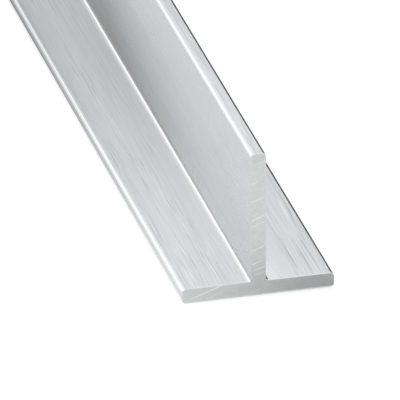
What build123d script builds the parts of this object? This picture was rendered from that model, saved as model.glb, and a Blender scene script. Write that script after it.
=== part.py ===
from build123d import *
import os

# Equal-leg T profile: one length of extruded aluminium, sawn square at both ends.
# It lies on the back of its flange, with the web standing up along the middle.
# X runs across the flange, Y along the length and Z up. The origin is on the
# flange's back, under the middle of the bar.

# Driving dimensions, in millimetres
stock_length = 1000.0
flange_width = 20.0
overall_height = 20.0
flange_thickness = 2.0
web_thickness = 2.0
edge_radius = 0.5  # the outer corners: both flange edges and the web's top
root_radius = 0.3  # the fillets where the web grows out of the flange

with BuildPart() as t_profile:
    # The section that the die gives, seen from the end of the bar
    with BuildSketch(Plane.XZ) as section:
        Rectangle(flange_width, flange_thickness, align=(Align.CENTER, Align.MIN))
        Rectangle(web_thickness, overall_height, align=(Align.CENTER, Align.MIN))

        # The four corners level with the flange's face are its two edges and the two roots
        shoulder_corners = section.vertices().group_by(Axis.Y)[1]
        root_corners = shoulder_corners.sort_by(Axis.X)[1:-1]
        fillet(root_corners, radius=root_radius)

        left_corners = section.vertices().group_by(Axis.X)[0]
        right_corners = section.vertices().group_by(Axis.X)[-1]
        top_corners = section.vertices().group_by(Axis.Y)[-1]
        fillet(left_corners + right_corners + top_corners, radius=edge_radius)

    # The bar runs the same way in front of the origin and behind it
    extrude(amount=stock_length / 2, both=True)

t_profile.part.label = "t_profile"
os.makedirs("parts", exist_ok=True)
export_step(t_profile.part, "parts/t_profile.step")
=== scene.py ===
import math
import random
import bmesh
import bpy
from mathutils import Matrix, Vector


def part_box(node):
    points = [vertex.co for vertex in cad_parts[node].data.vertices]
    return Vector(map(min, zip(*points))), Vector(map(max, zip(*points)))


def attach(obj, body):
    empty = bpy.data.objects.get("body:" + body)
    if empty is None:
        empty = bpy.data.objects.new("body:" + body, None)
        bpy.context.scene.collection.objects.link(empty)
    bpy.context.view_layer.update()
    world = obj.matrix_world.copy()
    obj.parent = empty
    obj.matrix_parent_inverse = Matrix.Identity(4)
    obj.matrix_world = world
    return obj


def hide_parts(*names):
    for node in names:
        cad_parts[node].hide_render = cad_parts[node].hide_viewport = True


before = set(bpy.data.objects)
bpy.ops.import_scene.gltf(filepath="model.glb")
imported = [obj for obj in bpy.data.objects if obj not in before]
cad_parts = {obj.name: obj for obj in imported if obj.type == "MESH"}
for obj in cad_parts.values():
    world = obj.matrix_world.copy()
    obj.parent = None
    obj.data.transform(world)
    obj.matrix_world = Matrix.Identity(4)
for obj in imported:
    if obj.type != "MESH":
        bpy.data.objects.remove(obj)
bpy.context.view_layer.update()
barLow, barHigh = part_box("t_profile")
barLength = barHigh.y - barLow.y
frontFoot = Vector(((barLow.x + barHigh.x) / 2, barLow.y, barLow.z))  # middle of the front end's lower edge
print("frame loaded, bar", round(barLength, 4), "m long")

tiny = 1e-7  # metres, closer than this counts as the same place
squareOn = 0.99  # cosine above which a face looks straight along an axis
noiseMiddle = 0.5  # the mean of a noise texture
white = (1, 1, 1, 1)


def addNode(tree, kind, values=None, **settings):
    node = tree.nodes.new(kind)
    for name, value in settings.items():
        setattr(node, name, value)
    for name, value in (values or {}).items():
        if isinstance(value, bpy.types.NodeSocket):
            tree.links.new(value, node.inputs[name])
        else:
            node.inputs[name].default_value = value
    return node


def addMath(tree, operation, first, second, clamp=False):
    node = addNode(tree, "ShaderNodeMath", {0: first, 1: second}, operation=operation, use_clamp=clamp)
    return node.outputs[0]


def addShare(tree, value, share, total):
    terms = {0: value, 1: share, 2: total}  # value times share, on top of the total
    return addNode(tree, "ShaderNodeMath", terms, operation="MULTIPLY_ADD").outputs[0]


def addRamp(tree, value, fromMin, fromMax, toMin, toMax):
    ramp = {"Value": value, "From Min": fromMin, "From Max": fromMax, "To Min": toMin, "To Max": toMax}
    return addNode(tree, "ShaderNodeMapRange", ramp, interpolation_type="SMOOTHSTEP").outputs[0]


def addMix(tree, share, first, second):
    colours = {0: share, 6: first, 7: second}  # 6 and 7 are the mix node's two colours
    return addNode(tree, "ShaderNodeMix", colours, data_type="RGBA").outputs[2]


def addNoise(tree, vector, detail, scale=(1, 1, 1), shift=0.0):
    placing = {"Vector": vector, "Location": (shift, shift, shift), "Scale": scale}
    placed = addNode(tree, "ShaderNodeMapping", placing).outputs[0]
    return addNode(tree, "ShaderNodeTexNoise", {"Vector": placed, "Scale": 1.0, "Detail": detail}).outputs[0]


def addCentred(tree, noise):
    return addMath(tree, "SUBTRACT", noise, noiseMiddle)


def scaleFor(size):
    return tuple(1 / length for length in size)  # a pattern's scale, from the size of its marks in metres


def addPlace(tree):
    return addNode(tree, "ShaderNodeTexCoord").outputs["Object"]


def readLayer(tree, name):
    return addNode(tree, "ShaderNodeAttribute", attribute_name=name).outputs["Fac"]


def newMaterial(name):
    material = bpy.data.materials.new(name)
    material.use_nodes = True
    material.node_tree.nodes.clear()
    return material, material.node_tree


def newGroup(name, inputs, outputs):
    group = bpy.data.node_groups.new(name, "ShaderNodeTree")
    for socketName, socketType in inputs:
        group.interface.new_socket(name=socketName, in_out="INPUT", socket_type=socketType)
    for socketName in outputs:
        group.interface.new_socket(name=socketName, in_out="OUTPUT", socket_type="NodeSocketFloat")
    return group, group.nodes.new("NodeGroupInput").outputs, group.nodes.new("NodeGroupOutput").inputs


# Fine parallel lines, as a die or a saw blade leaves them, along the way that the vector is stretched.
# The streaks and glints among them come in clumps, and all scales here stand beside the lines' own
toolMarks = {
    "lineDetail": 2.0,
    "sparseDetail": 3.0,
    "sparseEdge": 0.09,  # noise above the threshold at which a streak is whole
    "Streaks": ((0.65, 0.96, 0.65), 22.6),  # scale and shift, under the name of the group's output
    "Glints": ((0.9, 1.24, 0.9), 43.7),
    "clumps": ((0.06, 0.344, 0.06), 15.9),
    "clumpDetail": 1.0,
    "clumpRange": (0.35, 0.6),  # noise at which a clump begins and is whole
}


def makeToolLines():
    group, given, result = newGroup(
        "toolLines",
        [("Vector", "NodeSocketVector"), ("Threshold", "NodeSocketFloat")],
        ["Lines", "Streaks", "Glints"],
    )
    place, threshold = given["Vector"], given["Threshold"]
    group.links.new(addNoise(group, place, toolMarks["lineDetail"]), result["Lines"])
    clumps = addNoise(group, place, toolMarks["clumpDetail"], *toolMarks["clumps"])
    clumped = addRamp(group, clumps, *toolMarks["clumpRange"], 0.0, 1.0)
    whole = addMath(group, "ADD", threshold, toolMarks["sparseEdge"])
    for name in ("Streaks", "Glints"):
        sparse = addNoise(group, place, toolMarks["sparseDetail"], *toolMarks[name])
        mask = addRamp(group, sparse, threshold, whole, 0.0, 1.0)
        group.links.new(addMath(group, "MULTIPLY", mask, clumped), result[name])
    return group


# Slow clouds in the thin oxide film, from about -1 to 1
clouds = {
    "detail": 2.0,
    "range": (0.25, 0.75),  # noise at which a cloud is darkest and palest
}


def makeFilmCloud():
    group, given, result = newGroup("filmCloud", [("Vector", "NodeSocketVector")], ["Cloud"])
    cloud = addNoise(group, given["Vector"], clouds["detail"])
    group.links.new(addRamp(group, cloud, *clouds["range"], -1.0, 1.0), result["Cloud"])
    return group


toolLines = makeToolLines()
filmCloud = makeFilmCloud()


def addToolLines(tree, place, lineSize, threshold):
    stretched = addNode(tree, "ShaderNodeMapping", {"Vector": place, "Scale": scaleFor(lineSize)}).outputs[0]
    values = {"Vector": stretched, "Threshold": threshold}
    return addNode(tree, "ShaderNodeGroup", values, node_tree=toolLines).outputs


def addFilmCloud(tree, place, cloudSize):
    spread = addNode(tree, "ShaderNodeMapping", {"Vector": place, "Scale": scaleFor(cloudSize)}).outputs[0]
    return addNode(tree, "ShaderNodeGroup", {"Vector": spread}, node_tree=filmCloud).outputs["Cloud"]


# The bar: a T section drawn at the front end and pulled to the back end
bar = {
    "flangeThickness": 0.002,
    "webThickness": 0.002,
    "edgeRadius": 0.0005,  # outer corners
    "edgeSegments": 8,
    "edgeBurnishAndSheenPower": 4,  # the higher, the nearer to the upright face an outer round turns pale, as burnish and as a painted highlight band
    "rootRadius": 0.0003,  # where the web grows out of the flange
    "rootSegments": 6,
    # the root fillet, pale as burnish and as a painted highlight along the root
    "rootBurnishAndSheen": 0.85,
    "rootShadePower": 8,  # the higher, the nearer to the web a root round stops shining and its painted shade begins
    "uprightRub": 0.33,  # upright faces are rubbed less than level ones, and the rounds not at all
    "rubFade": 0.25,  # share of each round over which the rubbing ends
    "rootSkirtSheen": 0.75,  # painted reflection: the flange paler beside the root
    "skirtSheenWidth": 0.0048,
    "runOut": 0.0005,  # how far the root's fillet runs out on the flange
    "runOutHeight": 0.00005,
    "rootFarShade": 1.2,  # painted shade away from the ends: its strength at the foot of the web, from where it fades upwards
    "edgeFarShade": 0.52,  # on the flange it grows from the root to this at the edges
    "crestFarShade": 0.6,
    "roundFarShade": 0.6,
    "rootShade": 1.2,  # painted shade: a dark line beside the root, in the corner
    "rootShadeHeight": 0.0013,  # how far that line fades up the web
    "footShade": 0.7,  # painted shade on the lower part of the web
    "footFade": 3.5,  # the higher, the sooner that ends upwards
    "webTopShade": 0.16,  # painted shade on the upper part of the web
    "topReach": 0.006,
    "crestDarkening": 0.2,
    "edgeDarkening": 0.2,  # flange darker along its edges
    "edgeReach": 0.003,
    "linePitch": 0.00013,  # spacing of the die's own lines
    "lineDepth": 0.000006,
    "lineDepthPower": 3,  # the higher, the fewer lines are deep
    "lineShare": 0.4,  # how many of the places have a line
    "lineGrime": 0.2,  # what a deep line holds, on the level faces
    "lineSeed": 11,
}
webSide = bar["webThickness"] / 2
flangeTop = barLow.z + bar["flangeThickness"]
rootTop = flangeTop + bar["rootRadius"]
midHeight = barHigh.z / 2  # the flange lies below this and the crest above
filletRise = 2 * bar["rootRadius"] / bar["runOut"]  # the fillet goes on as steeply as its run-out ends

# The sawn ends: fine steps across the section, and deeper marks left by single teeth
saw = {
    "rim": 0.00006,  # the cut's sharp rim, broken by a brush
    "rimSegments": 2,
    "rimSheen": 0.8,  # paler on top as a painted highlight, and where the blade came out as fresh metal
    "angle": 20.0,  # degrees that the blade's marks rise across the section
    "pitch": 0.00032,
    "pitchSpread": (0.6, 1.4),  # shares of the pitch that a step can take
    "stepDepth": 0.000005,
    "seed": 4,
    "markHalfWidth": 0.00012,
    "markCore": 0.00005,
    "markDepth": 0.000006,
    "markCuts": 7,
    # height where the mark crosses the middle plane, where it starts and ends across the bar,
    # and 1 where it is bright metal or -1 where it is darker
    "marks": [
        (0.01966, -0.0006, -0.0002, -1),
        (0.01925, -0.0006, -0.0002, -1),
        (0.01925, 0.0002, 0.0008, -1),
        (0.01891, -0.0006, -0.0002, -1),
        (0.01891, 0.0004, 0.0007, -1),
        (0.0161, -0.0010, 0.0002, 1),
        (0.01355, -0.0010, 0.0009, 1),
        (0.01093, -0.0010, 0.0008, 1),
        (0.01005, -0.0008, 0.0009, 1),
        (0.00663, -0.0010, 0.0008, 1),
        (0.00468, -0.0008, 0.0007, 1),
        (0.00371, -0.0092, -0.0047, 1),
        (0.00371, -0.0008, 0.0008, 1),
        (0.0030, -0.0003, 0.0009, 1),
        (0.00275, -0.0068, -0.0060, 1),
        (0.00078, -0.0014, -0.0007, 1),
    ],
}

vertexLayers = ("burnishAndSheen", "rub", "farShade", "grimeAndShade", "runOut", "freshCut")
millSlot, sawnSlot = 0, 1  # the bar's two materials, in the order that they are given to it


def vertsOf(geom):
    return [g for g in geom if isinstance(g, bmesh.types.BMVert)]


def edgesOf(geom):
    return [g for g in geom if isinstance(g, bmesh.types.BMEdge)]


def fade(distance, reach):
    return max(0.0, 1 - distance / reach)


def softFade(distance, reach):
    return fade(distance, reach) ** 2


def roundCorner(bm, corner, radius, segments):
    runs = [(e.other_vert(corner).co - corner.co).normalized() for e in corner.link_edges]
    centre = corner.co + (runs[0] + runs[1]) * radius
    made = bmesh.ops.bevel(
        bm, geom=[corner], offset=radius, affect="VERTICES", segments=segments, profile=0.5, material=-1
    )
    # with each vertex its flank: 0 on the level face, 1 on the upright one
    return [(v, abs(v.co.x - centre.x) / radius) for v in made["verts"]]


def drawSection(bm, layers):
    corners = [
        (barLow.x, barLow.z),
        (barHigh.x, barLow.z),
        (barHigh.x, flangeTop),
        (webSide, flangeTop),
        (webSide, barHigh.z),
        (-webSide, barHigh.z),
        (-webSide, flangeTop),
        (barLow.x, flangeTop),
    ]
    verts = [bm.verts.new((x, barLow.y, z)) for x, z in corners]
    bm.faces.new(verts)
    roots = [v for v in verts if abs(v.co.x) < barHigh.x / 2 and v.co.z < midHeight]
    outer = [v for v in verts if v not in roots]
    for corner in outer:
        for v, flank in roundCorner(bm, corner, bar["edgeRadius"], bar["edgeSegments"]):
            onCrest = v.co.z > midHeight
            levelEnd = softFade(flank, bar["rubFade"])
            uprightEnd = softFade(1 - flank, bar["rubFade"])
            # paler towards the upright face: burnish from the die, and a painted highlight band on the round
            v[layers["burnishAndSheen"]] = flank ** bar["edgeBurnishAndSheenPower"]
            v[layers["rub"]] = levelEnd + bar["uprightRub"] * uprightEnd
            # painted shade that deepens away from the ends
            v[layers["farShade"]] = 0.0 if onCrest else bar["roundFarShade"]
            # the round darker on its level side, towards the crest or the flange's top
            v[layers["grimeAndShade"]] = levelEnd * (bar["crestDarkening"] if onCrest else bar["edgeDarkening"])
    for corner in roots:
        for v, flank in roundCorner(bm, corner, bar["rootRadius"], bar["rootSegments"]):
            besideWeb = flank ** bar["rootShadePower"]
            # the fillet pale as burnish and a painted highlight, ending beside the web in painted shade
            v[layers["burnishAndSheen"]] = bar["rootBurnishAndSheen"] * (1 - besideWeb)
            v[layers["grimeAndShade"]] = bar["rootShade"] * besideWeb
            v[layers["runOut"]] = 1 + filletRise * (flank - flank ** 2 / 2)


def fromRoot(place):
    onFlange = barLow.z + bar["flangeThickness"] / 2 < place.z < midHeight  # its upper face
    return abs(place.x) - webSide - bar["rootRadius"] if onFlange else math.inf


# painted shade that deepens away from the ends: strongest at the web's foot, growing towards the flange's
# edges
def farShadeAt(place, onWeb):
    if onWeb:
        return bar["rootFarShade"] * (1 - place.z / barHigh.z)
    if place.z > midHeight:
        return bar["crestFarShade"]
    return bar["edgeFarShade"] * math.sqrt(abs(place.x) / barHigh.x)


def grimeAndShadeAt(place, onWeb):
    # painted shade on the web: a dark line along the root, a darker foot and a darker top
    if onWeb:
        darkLine = bar["rootShade"] * fade(place.z - rootTop, bar["rootShadeHeight"])
        foot = bar["footShade"] * (1 - place.z / barHigh.z) ** bar["footFade"]
        top = bar["webTopShade"] * fade(barHigh.z - place.z, bar["topReach"])
        return max(darkLine, foot, top)
    if place.z > midHeight:
        return bar["crestDarkening"]
    fromSide = barHigh.x - abs(place.x)
    onSide = fromSide <= bar["edgeRadius"]
    return 0.0 if onSide else bar["edgeDarkening"] * fade(fromSide, bar["edgeReach"])


def skirtSheenAt(place, onWeb):
    # painted reflection: the flange paler beside the root
    return 0.0 if onWeb else bar["rootSkirtSheen"] * softFade(fromRoot(place), bar["skirtSheenWidth"])


def runOutAt(place, onWeb):
    if onWeb:
        return (1 + filletRise / 2) * (barHigh.z - place.z) / (barHigh.z - rootTop)
    return softFade(fromRoot(place), bar["runOut"])


def scoreDieLines(bm, layers):
    rng = random.Random(bar["lineSeed"])
    bm.faces.ensure_lookup_table()
    section = bm.faces[0]
    section.normal_update()
    straights = []
    for loop in section.loops:
        run = loop.link_loop_next.vert.co - loop.vert.co
        if run.length > bar["edgeRadius"]:
            straights.append((loop.edge, section.normal.cross(run).normalized(), run.length))
    for edge, inward, length in straights:
        level = abs(inward.z)  # 1 on the level faces, 0 on the upright ones
        onWeb = level < abs(inward.x) and length > midHeight
        made = bmesh.ops.subdivide_edges(bm, edges=[edge], cuts=round(length / bar["linePitch"]) - 1)
        for v in vertsOf(made["geom_inner"]):
            v[layers["burnishAndSheen"]] = skirtSheenAt(v.co, onWeb)
            v[layers["rub"]] = bar["uprightRub"] + (1 - bar["uprightRub"]) * level
            v[layers["farShade"]] = farShadeAt(v.co, onWeb)
            v[layers["grimeAndShade"]] = grimeAndShadeAt(v.co, onWeb)
            v[layers["runOut"]] = runOutAt(v.co, onWeb)
            if rng.random() < bar["lineShare"]:
                depth = rng.random() ** bar["lineDepthPower"]
                v.co += inward * bar["lineDepth"] * depth
                v[layers["grimeAndShade"]] += bar["lineGrime"] * depth * level


def pullBar(bm):
    pulled = bmesh.ops.extrude_face_region(bm, geom=bm.faces[:])
    bmesh.ops.translate(bm, verts=vertsOf(pulled["geom"]), vec=(0, barLength, 0))
    bmesh.ops.recalc_face_normals(bm, faces=bm.faces[:])
    for face in bm.faces:
        isEnd = abs(face.normal.y) > squareOn
        face.material_index = sawnSlot if isEnd else millSlot
        face.smooth = not isEnd


def materialBorders(bm):
    return [e for e in bm.edges if len({f.material_index for f in e.link_faces}) == 2]


def breakRims(bm):
    rimSheenLayer = bm.faces.layers.float.new("rim")
    made = bmesh.ops.bevel(
        bm, geom=materialBorders(bm), offset=saw["rim"], affect="EDGES",
        segments=saw["rimSegments"], profile=0.5, material=-1,
    )
    for face in made["faces"]:
        face.material_index = sawnSlot
        face.smooth = False
        face.normal_update()
        # painted highlight on the rim's upper faces, fresh metal where the blade came out
        bladeExit = -face.normal.x * math.copysign(1, face.normal.y)
        face[rimSheenLayer] = saw["rimSheen"] * max(face.normal.z, bladeExit, 0.0)


def sliceEnd(bm, side, height):
    lean = math.radians(saw["angle"]) * side
    faces = [f for f in bm.faces if f.material_index == sawnSlot and f.normal.y * side < -squareOn]
    geom = faces + list({e for f in faces for e in f.edges}) + list({v for f in faces for v in f.verts})
    cut = bmesh.ops.bisect_plane(
        bm, geom=geom, dist=tiny, plane_co=(0, 0, height),
        plane_no=(-math.sin(lean), 0, math.cos(lean)),
    )
    return cut["geom_cut"]


def sawEnd(bm, side, layers):
    rng = random.Random(saw["seed"] + side)
    reach = math.tan(math.radians(saw["angle"])) * barHigh.x
    height = barLow.z - reach
    while height < barHigh.z + reach:
        depth = saw["stepDepth"] * rng.random()
        clear = min(abs(height - mark[0]) for mark in saw["marks"]) > saw["markHalfWidth"]
        if clear:
            for v in vertsOf(sliceEnd(bm, side, height)):
                v.co.y += side * depth
        height += saw["pitch"] * rng.uniform(*saw["pitchSpread"])
    for height, start, stop, shine in saw["marks"]:
        sliceEnd(bm, side, height - saw["markHalfWidth"])
        sliceEnd(bm, side, height + saw["markHalfWidth"])
        for core in (-saw["markCore"], saw["markCore"]):
            edges = edgesOf(sliceEnd(bm, side, height + core))
            made = bmesh.ops.subdivide_edges(bm, edges=edges, cuts=saw["markCuts"])
            for v in {v for e in edgesOf(made["geom_split"]) for v in e.verts}:
                if start < v.co.x * side < stop:
                    v.co.y += side * saw["markDepth"]
                    v[layers["freshCut"]] = shine


def buildBar():
    bm = bmesh.new()
    layers = {name: bm.verts.layers.float.new(name) for name in vertexLayers}
    drawSection(bm, layers)
    scoreDieLines(bm, layers)
    pullBar(bm)
    breakRims(bm)
    sawEnd(bm, 1, layers)
    sawEnd(bm, -1, layers)
    for edge in materialBorders(bm):
        edge.smooth = False
    print("bar verts", len(bm.verts), "faces", len(bm.faces))
    mesh = bpy.data.meshes.new("tBar")
    bm.to_mesh(mesh)
    bm.free()
    piece = bpy.data.objects.new("tBar", mesh)
    bpy.context.scene.collection.objects.link(piece)
    return piece


# Mill finish on the long faces: die lines, streaks and glints, and painted shade that deepens away from the
# ends
mill = {
    "dull": (0.152, 0.148, 0.138, 1),
    "pale": (0.82, 0.845, 0.865, 1),
    "bright": (0.93, 0.94, 0.95, 1),  # the rounds, burnished by the die and paler where their highlight band is painted
    "tone": 0.855,
    "roughness": 0.16,  # of the rounds
    "rubRoughness": 0.32,  # added to that on the faces that are rubbed most
    "anisotropy": 0.6,
    "lineSize": (0.00009, 0.011, 0.00009),  # long in the bar's own direction
    "lineTone": 0.083,
    "streakThreshold": 0.53,
    "streakTone": 0.235,
    "streakRoughness": 0.1,
    "streakFade": 1.7,  # the higher, the fainter the streaks and glints on less rubbed faces
    "glintTone": 0.18,
    "bandSize": (0.0009, 0.08, 0.0009),  # soft lengthwise bands
    "bandShift": 3.1,
    "bandDetail": 1.0,
    "bandTone": 0.097,
    "midRub": 0.55,  # strength of the streaks away from the ends, beside 1 at the ends
    "rubReach": 0.06,  # how far in they come down to that
    "farShadeDepth": 0.075,  # how far in from the ends the painted shade goes on deepening
    "farShadeStart": 0.01,  # distance from the end times strength, at which the painted shade begins to show
    "farShadeWhole": 0.085,  # the same, at which it is whole
    "farShadeTone": 0.586,
    "grimeAndShadeTone": 0.586,
    "cloudSize": (0.02, 0.06, 0.02),
    "cloudTone": 0.034,
    "bumpDepth": 0.000002,
}


def addMetal(tree, values):
    metal = addNode(tree, "ShaderNodeBsdfPrincipled", {"Metallic": 1.0, **values})
    addNode(tree, "ShaderNodeOutputMaterial", {"Surface": metal.outputs[0]})


def millFinish():
    material, tree = newMaterial("millFinish")
    place = addPlace(tree)
    lines = addToolLines(tree, place, mill["lineSize"], mill["streakThreshold"])
    cloud = addFilmCloud(tree, place, mill["cloudSize"])
    bands = addNoise(tree, place, mill["bandDetail"], scaleFor(mill["bandSize"]), mill["bandShift"])
    burnishAndSheen = readLayer(tree, "burnishAndSheen")
    rub = readLayer(tree, "rub")
    farShade = readLayer(tree, "farShade")
    grimeAndShade = readLayer(tree, "grimeAndShade")
    runOut = readLayer(tree, "runOut")

    along = addNode(tree, "ShaderNodeSeparateXYZ", {0: place}).outputs["Y"]
    fromEnd = addMath(tree, "SUBTRACT", barLength / 2, addMath(tree, "ABSOLUTE", along, 0.0))
    scuffed = addMath(tree, "POWER", rub, mill["streakFade"])
    endRub = addRamp(tree, fromEnd, 0.0, mill["rubReach"], 1.0, mill["midRub"])
    handled = addMath(tree, "MULTIPLY", scuffed, endRub)
    streaks = addMath(tree, "MULTIPLY", lines["Streaks"], handled)
    glints = addMath(tree, "MULTIPLY", lines["Glints"], handled)
    # painted shade, deepening from each end inwards
    farShaded = addMath(tree, "MULTIPLY", farShade, addMath(tree, "MINIMUM", fromEnd, mill["farShadeDepth"]))
    farShadeAmount = addRamp(tree, farShaded, mill["farShadeStart"], mill["farShadeWhole"], 0.0, 1.0)
    fineLines = addMath(tree, "MULTIPLY", addCentred(tree, lines["Lines"]), rub)

    tone = mill["tone"]
    for value, share in (
        (cloud, mill["cloudTone"]),
        (addCentred(tree, bands), mill["bandTone"]),
        (fineLines, mill["lineTone"]),
        (streaks, -mill["streakTone"]),
        (glints, mill["glintTone"]),
        # painted shade away from the ends
        (farShadeAmount, -mill["farShadeTone"]),
        # dirt in the die lines, painted shade along the web's root, foot and top, and darker crest and
        # flange edges
        (grimeAndShade, -mill["grimeAndShadeTone"]),
    ):
        tone = addShare(tree, value, share, tone)
    worn = addMix(tree, tone, mill["dull"], mill["pale"])
    # burnish and painted highlight on the rounds, painted reflection beside the root, both thinner under the
    # painted shade
    burnishSheen = addMath(tree, "MULTIPLY", burnishAndSheen, addMath(tree, "SUBTRACT", 1.0, farShadeAmount))
    colour = addMix(tree, burnishSheen, worn, mill["bright"])
    roughness = addShare(tree, streaks, mill["streakRoughness"], mill["roughness"])
    roughness = addShare(tree, rub, mill["rubRoughness"], roughness)
    relief = addMath(tree, "MULTIPLY", fineLines, mill["bumpDepth"])
    relief = addShare(tree, runOut, bar["runOutHeight"], relief)
    bump = addNode(tree, "ShaderNodeBump", {"Height": relief, "Strength": 1.0, "Distance": 1.0})
    across = addNode(tree, "ShaderNodeTangent", direction_type="RADIAL", axis="Y")
    addMetal(
        tree,
        {
            "Base Color": colour,
            "Roughness": roughness,
            "Anisotropic": mill["anisotropy"],
            "Normal": bump.outputs[0],
            "Tangent": across.outputs[0],
        },
    )
    return material


# Sawn face: lines along the blade's path, bright where a single tooth dug in
cutFace = {
    "dull": (0.446, 0.466, 0.459, 1),
    "pale": (0.733, 0.762, 0.756, 1),
    "fresh": (0.92, 0.925, 0.92, 1),
    "tone": 0.85,
    "roughness": 0.42,
    "lineSize": (0.004, 0.004, 0.00014),  # long in the blade's direction
    "lineTone": 0.2,
    "glintThreshold": 0.62,
    "glintTone": 0.2,
    "darkMarkTone": 0.6,
    "cloudSize": (0.0007, 0.0007, 0.0004),
    "cloudTone": 0.09,
    "bumpDepth": 0.000002,
}


def sawnFinish():
    material, tree = newMaterial("sawnFinish")
    bladeTurn = (0, math.radians(saw["angle"]), 0)
    turned = addNode(tree, "ShaderNodeMapping", {"Vector": addPlace(tree), "Rotation": bladeTurn}).outputs[0]
    lines = addToolLines(tree, turned, cutFace["lineSize"], cutFace["glintThreshold"])
    cloud = addFilmCloud(tree, turned, cutFace["cloudSize"])
    mark = readLayer(tree, "freshCut")
    rim = readLayer(tree, "rim")
    tone = cutFace["tone"]
    for value, share in (
        (cloud, cutFace["cloudTone"]),
        (addCentred(tree, lines["Lines"]), cutFace["lineTone"]),
        (lines["Glints"], cutFace["glintTone"]),
        (addMath(tree, "MINIMUM", mark, 0.0), cutFace["darkMarkTone"]),
    ):
        tone = addShare(tree, value, share, tone)
    worn = addMix(tree, tone, cutFace["dull"], cutFace["pale"])
    # fresh metal at the marks and the blade's exit, and the rim's painted highlight on top
    colour = addMix(tree, addMath(tree, "MAXIMUM", mark, rim), worn, cutFace["fresh"])
    relief = {"Height": lines["Lines"], "Strength": 1.0, "Distance": cutFace["bumpDepth"]}
    bump = addNode(tree, "ShaderNodeBump", relief)
    addMetal(tree, {"Base Color": colour, "Roughness": cutFace["roughness"], "Normal": bump.outputs[0]})
    return material


tBar = buildBar()
tBar.data.materials.append(millFinish())
tBar.data.materials.append(sawnFinish())
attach(tBar, "root")
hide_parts("t_profile")
print("bar dressed")


# Studio: a white floor and surround, three soft lights, and grey cards that only the metal mirrors
studio = {
    "floorSize": 60.0,
    "floorDrop": 0.00005,  # keeps the floor clear of the bar's underside
    "floorColour": (0.92, 0.92, 0.92, 1),
    "floorLift": 0.2,  # its own glow, that leaves the bar's shadow faint
    "floorMirrored": 0.94,  # how white the metal shows it
    "ambient": 1.0,  # what the surround gives to matt surfaces
}

# Each softbox: where it stands and where it points, both measured from the front end's foot,
# its size, and its radiance beside a white of 1
softboxes = {
    "lowLeft": ((-1.25, 1.84, 0.42), (0.0, 0.05, 0.0), (0.9, 0.85), 0.4),
    "overFront": ((-0.15, 0.09, 0.16), (-0.15, 0.09, 0.0), (0.22, 0.42), 0.38),
    "highRight": ((0.15, 0.45, 0.36), (0.0, 0.02, 0.0), (0.3, 0.3), 0.55),
}

# Each card: a corner, measured from the front end's foot, two edges from that corner,
# and its grey at the first edge's start and end
cards = {
    "overhead": ((-0.14, 0.6, 0.5), (0.28, 0, 0), (0, 0.8, 0), 0.82, 0.82),
    "leftFall": ((-0.0171, 0.2, 0.1293), (0, 0.11, 0), (-0.0655, 0, -0.055), 1.0, 0.78),
    "leftShade": ((-0.0171, 0.31, 0.1293), (0, 0.25, 0), (-0.0655, 0, -0.055), 0.78, 0.78),
    "topFall": ((-0.0171, 0.25, 0.1293), (0, 0.11, 0), (0.12, 0, 0), 1.0, 0.55),
    "topShade": ((-0.0171, 0.36, 0.1293), (0, 0.25, 0), (0.12, 0, 0), 0.55, 0.55),
    "rightFloor": ((0.0101, 0.0, 0.0002), (0.19, 0.342, 0), (0, 0.158, 0), 0.18, 0.04),
    "rightFlag": ((0.2, 0.31, 0.0), (0, 0.26, 0), (0, 0, 0.2), 0.03, 0.03),
    "frontFloor": ((-0.011, -0.0065, 0.0002), (0.0225, 0, 0), (0, 0.0065, 0), 0.82, 0.4),
    "frontFall": ((-0.011, -0.0065, 0.0002), (0, -0.014, 0), (0.0225, 0, 0), 0.8, 0.94),
    "leftFront": ((-0.0101, -0.01, 0.0002), (0, 0.11, 0), (-0.0006, 0, 0), 0.88, 0.33),
    "leftFloor": ((-0.0101, 0.1, 0.0002), (0, 2.2, 0), (-0.0006, 0, 0), 0.33, 0.33),
}


def seenAsWhite(tree):
    path = addNode(tree, "ShaderNodeLightPath").outputs
    seen = addMath(tree, "ADD", path["Is Camera Ray"], path["Is Glossy Ray"], clamp=True)
    return addMath(tree, "ADD", seen, path["Is Transmission Ray"], clamp=True)


def addGlow(tree, strength):
    return addNode(tree, "ShaderNodeEmission", {"Color": white, "Strength": strength}).outputs[0]


def lightWorld():
    world = bpy.data.worlds.new("surround")
    world.use_nodes = True
    tree = world.node_tree
    tree.nodes.clear()
    strength = addRamp(tree, seenAsWhite(tree), 0.0, 1.0, studio["ambient"], 1.0)
    surround = addNode(tree, "ShaderNodeBackground", {"Color": white, "Strength": strength})
    addNode(tree, "ShaderNodeOutputWorld", {"Surface": surround.outputs[0]})
    bpy.context.scene.world = world


def addSheet(name, corner, firstEdge, secondEdge, material):
    bm = bmesh.new()
    verts = bmesh.ops.create_grid(bm, x_segments=1, y_segments=1, size=0.5)["verts"]  # 1 m a side
    first, second = Vector(firstEdge), Vector(secondEdge)
    spread = Matrix((first, second, first.cross(second).normalized())).transposed().to_4x4()
    spread.translation = corner + (first + second) / 2
    bmesh.ops.transform(bm, matrix=spread, verts=verts)
    mesh = bpy.data.meshes.new(name)
    bm.to_mesh(mesh)
    bm.free()
    sheet = bpy.data.objects.new(name, mesh)
    sheet.data.materials.append(material)
    bpy.context.scene.collection.objects.link(sheet)
    return sheet


def floorPaint():
    material, tree = newMaterial("floorPaint")
    matt = addNode(tree, "ShaderNodeBsdfDiffuse", {"Color": studio["floorColour"]}).outputs[0]
    lift = addGlow(tree, addMath(tree, "MULTIPLY", seenAsWhite(tree), studio["floorLift"]))
    seen = addNode(tree, "ShaderNodeAddShader", {0: matt, 1: lift}).outputs[0]
    inMetal = addNode(tree, "ShaderNodeLightPath").outputs["Is Glossy Ray"]
    plain = addGlow(tree, studio["floorMirrored"])
    shown = addNode(tree, "ShaderNodeMixShader", {0: inMetal, 1: seen, 2: plain})
    addNode(tree, "ShaderNodeOutputMaterial", {"Surface": shown.outputs[0]})
    return material


def addFloor():
    side = studio["floorSize"]
    corner = Vector((-side / 2, -side / 2, barLow.z - studio["floorDrop"]))
    addSheet("floor", corner, (side, 0, 0), (0, side, 0), floorPaint())


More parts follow.
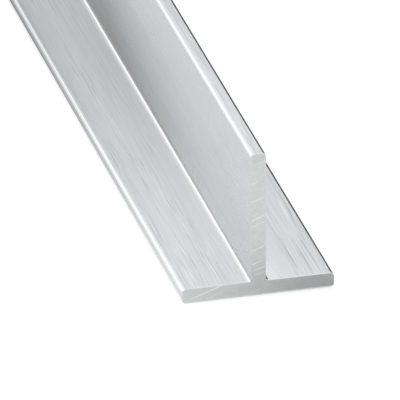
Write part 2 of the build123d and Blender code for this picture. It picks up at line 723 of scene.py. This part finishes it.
def addCard(name, fromFoot, firstEdge, secondEdge, firstGrey, lastGrey):
    corner = frontFoot + Vector(fromFoot)
    material, tree = newMaterial(name)
    along = Vector(firstEdge) / Vector(firstEdge).length_squared
    reached = addNode(tree, "ShaderNodeVectorMath", {0: addPlace(tree), 1: along}, operation="DOT_PRODUCT")
    begin = corner.dot(along)
    grey = addRamp(tree, reached.outputs["Value"], begin, begin + 1, firstGrey, lastGrey)
    addNode(tree, "ShaderNodeOutputMaterial", {"Surface": addGlow(tree, grey)})
    card = addSheet(name, corner, firstEdge, secondEdge, material)
    card.visible_camera = False
    card.visible_diffuse = False
    card.visible_transmission = False
    card.visible_shadow = False


def addSoftbox(name, fromFoot, aim, boxSize, radiance):
    lamp = bpy.data.lights.new(name, "AREA")
    lamp.shape = "RECTANGLE"
    lamp.size, lamp.size_y = boxSize
    lamp.energy = radiance * math.pi * boxSize[0] * boxSize[1]
    softbox = bpy.data.objects.new(name, lamp)
    softbox.location = frontFoot + Vector(fromFoot)
    softbox.rotation_euler = (Vector(aim) - Vector(fromFoot)).to_track_quat("-Z", "Y").to_euler()
    softbox.visible_camera = False
    bpy.context.scene.collection.objects.link(softbox)


addFloor()
lightWorld()
for name, values in softboxes.items():
    addSoftbox(name, *values)
for name, values in cards.items():
    addCard(name, *values)
print("studio set")


# Camera: placed so that the middle of the front end's foot lands on its pixel in the photo
camera = {
    "azimuth": -14.456,  # degrees, from straight in front towards the left
    "elevation": 25.99,
    "distance": 1.5,  # metres to the front end
    "focalPixels": 11782.5,
    "imagePixels": 400,
    "footPixel": (258.262, 295.087),
}


def addCamera():
    turn = math.radians(camera["azimuth"])
    rise = math.radians(camera["elevation"])
    right = Vector((math.cos(turn), math.sin(turn), 0))
    back = Vector((math.sin(turn) * math.cos(rise), -math.cos(turn) * math.cos(rise), math.sin(rise)))
    down = right.cross(back)
    middle = camera["imagePixels"] / 2
    across = (camera["footPixel"][0] - middle) / camera["focalPixels"]
    below = (camera["footPixel"][1] - middle) / camera["focalPixels"]
    eye = bpy.data.objects.new("camera", bpy.data.cameras.new("camera"))
    eye.data.lens = eye.data.sensor_width * camera["focalPixels"] / camera["imagePixels"]
    eye.location = frontFoot - (right * across + down * below - back) * camera["distance"]
    eye.rotation_euler = (-back).to_track_quat("-Z", "Y").to_euler()
    bpy.context.scene.collection.objects.link(eye)
    bpy.context.scene.camera = eye


addCamera()
bpy.context.scene.view_settings.view_transform = "Standard"
print("camera set")
